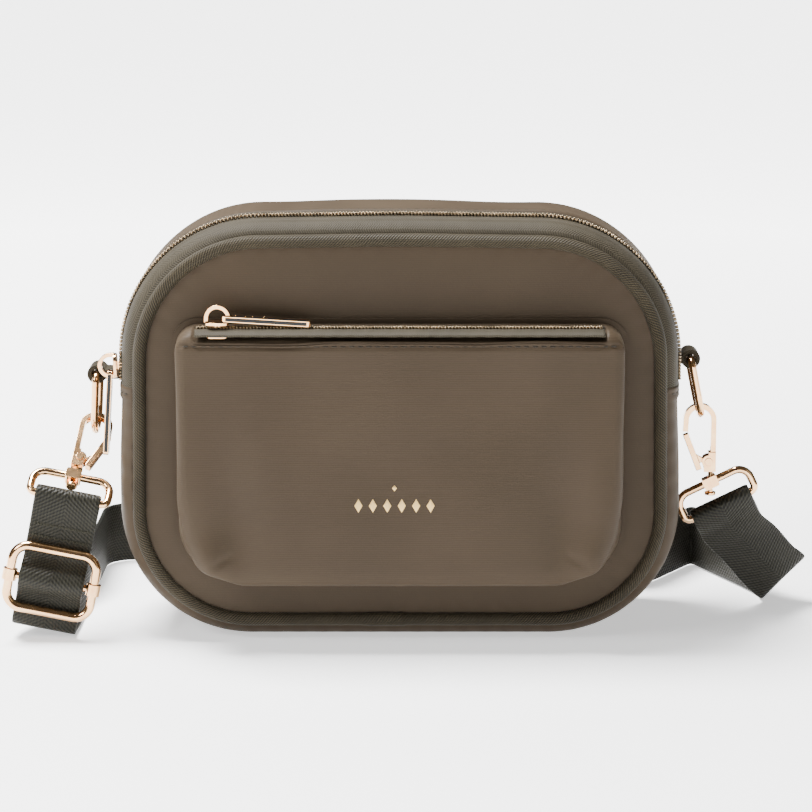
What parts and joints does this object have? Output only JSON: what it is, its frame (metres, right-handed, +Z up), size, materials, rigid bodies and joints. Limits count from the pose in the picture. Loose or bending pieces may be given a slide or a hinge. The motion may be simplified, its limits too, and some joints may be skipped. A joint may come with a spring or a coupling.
{
  "type": "crossbody purse",
  "caption": "Padded bag with rounded corners, corded seams, a zipped main compartment and front pocket, D rings, and a clip-on webbing strap folded behind it.",
  "frame": {"origin": "middle of the base, on the surface that the bag stands on", "axes": "+X along the bag towards its right seen from the front, +Y from the pocket to the back, +Z up"},
  "size_m": [0.316, 0.1386, 0.1645],
  "materials": {
    "neoprene": "padded neoprene, fine ribs on the pocket",
    "piping": "ribbed twill",
    "zip_tape": "herringbone tape",
    "zip_teeth": "dark gilt teeth",
    "lining": "plain woven lining",
    "gold": "polished pale gold plate",
    "dark_inlay": "dark enamel",
    "steel": "spring steel",
    "webbing": "chevron weave"
  },
  "bodies": {
    "bag": {"front_panel": "neoprene", "back_panel": "neoprene", "lower_gusset": "neoprene", "top_gusset": "neoprene", "zip_end_hems": "neoprene", "pocket_flange": "neoprene", "front_pocket": "neoprene", "front_piping": "piping", "rear_piping": "piping", "ring_tab_left": "piping", "ring_tab_right": "piping", "main_zip_tape_front": "zip_tape", "main_zip_tape_rear": "zip_tape", "main_zip_teeth_front": "zip_teeth", "main_zip_teeth_rear": "zip_teeth", "pocket_zip_tape_front": "zip_tape", "pocket_zip_tape_rear": "zip_tape", "pocket_zip_teeth_front": "zip_teeth", "pocket_zip_teeth_rear": "zip_teeth", "main_lining": "lining", "inner_slip_pocket": "lining", "emblem_foil": "gold", "adjuster_bar": "gold", "strap_left_drop": "webbing", "strap_left_curl": "webbing", "strap_fold": "webbing", "strap_right_drop": "webbing", "strap_right_end": "webbing"},
    "main_slider": {"main_slider": "gold"},
    "main_pull": {"main_pull": "gold", "main_pull_inlay": "dark_inlay"},
    "pocket_slider": {"pocket_slider": "gold"},
    "pocket_pull": {"pocket_pull": "gold", "pocket_pull_inlay": "dark_inlay"},
    "adjuster_frame": {"adjuster_frame": "gold"},
    "d_ring_left": {"d_ring_left": "gold"},
    "swivel_loop_left": {"swivel_loop_left": "gold"},
    "hook_left": {"hook_left": "gold", "gate_rivet_left": "gold", "gate_spring_left": "steel", "swivel_post_left": "gold"},
    "hook_gate_left": {"hook_gate_left": "gold"},
    "d_ring_right": {"d_ring_right": "gold"},
    "swivel_loop_right": {"swivel_loop_right": "gold"},
    "hook_right": {"hook_right": "gold", "gate_rivet_right": "gold", "gate_spring_right": "steel", "swivel_post_right": "gold"},
    "hook_gate_right": {"hook_gate_right": "gold"}
  },
  "joints": [
    {"name": "main_zip_travel", "type": "hinge", "parent": "bag", "child": "main_slider", "pos_m": [-0.05227, -0.018, 0.10869], "axis": [0, 1, 0], "range_deg": [0, 85]},
    {"name": "main_pull_swing", "type": "hinge", "parent": "main_slider", "child": "main_pull", "pos_m": [-0.11051, -0.018, 0.10513], "axis": [0, 1, 0], "range_deg": [0, 150]},
    {"name": "pocket_zip_travel", "type": "slide", "parent": "bag", "child": "pocket_slider", "axis": [1, 0, 0], "range_m": [0, 0.136]},
    {"name": "pocket_pull_swing", "type": "hinge", "parent": "pocket_slider", "child": "pocket_pull", "pos_m": [-0.068, -0.0414, 0.12765], "axis": [0, -1, 0], "range_deg": [0, 150]},
    {"name": "adjuster_slide", "type": "slide", "parent": "bag", "child": "adjuster_frame", "axis": [0.1991, 0.0523, 0.9786], "range_m": [-0.0015, 0.0015]},
    {"name": "d_ring_left_swing", "type": "hinge", "parent": "bag", "child": "d_ring_left", "pos_m": [-0.1175, 0.002, 0.0987], "axis": [0, 1, 0], "range_deg": [-3, 3]},
    {"name": "swivel_loop_left_tilt", "type": "hinge", "parent": "bag", "child": "swivel_loop_left", "pos_m": [-0.12711, -0.02619, 0.05496], "axis": [-0.9799, 0, 0.1994], "range_deg": [-5, 0]},
    {"name": "hook_left_swivel", "type": "hinge", "parent": "swivel_loop_left", "child": "hook_left", "pos_m": [-0.12576, -0.01815, 0.06158], "axis": [0.1006, 0.766, 0.6349], "range_deg": [-15, 3]},
    {"name": "hook_gate_left_press", "type": "hinge", "parent": "hook_left", "child": "hook_gate_left", "pos_m": [-0.12393, -0.01172, 0.06676], "axis": [0.1198, -0.6428, 0.7566], "range_deg": [0, 12], "stiffness_Nm_per_rad": 0.02, "springref_deg": -11.46},
    {"name": "d_ring_right_swing", "type": "hinge", "parent": "bag", "child": "d_ring_right", "pos_m": [0.1125, 0.002, 0.1047], "axis": [0, 1, 0], "range_deg": [-2, 2]},
    {"name": "swivel_loop_right_tilt", "type": "hinge", "parent": "bag", "child": "swivel_loop_right", "pos_m": [0.12629, 0.002, 0.04532], "axis": [0.8988, 0, 0.4384], "range_deg": [-1, 1]},
    {"name": "hook_right_swivel", "type": "hinge", "parent": "swivel_loop_right", "child": "hook_right", "pos_m": [0.12169, 0.002, 0.05476], "axis": [0, 0, 1], "range_deg": [-4, 4]},
    {"name": "hook_gate_right_press", "type": "hinge", "parent": "hook_right", "child": "hook_gate_right", "pos_m": [0.12069, 0.002, 0.06316], "axis": [0, 1, 0], "range_deg": [0, 20], "stiffness_Nm_per_rad": 0.02, "springref_deg": -11.46}
  ]
}
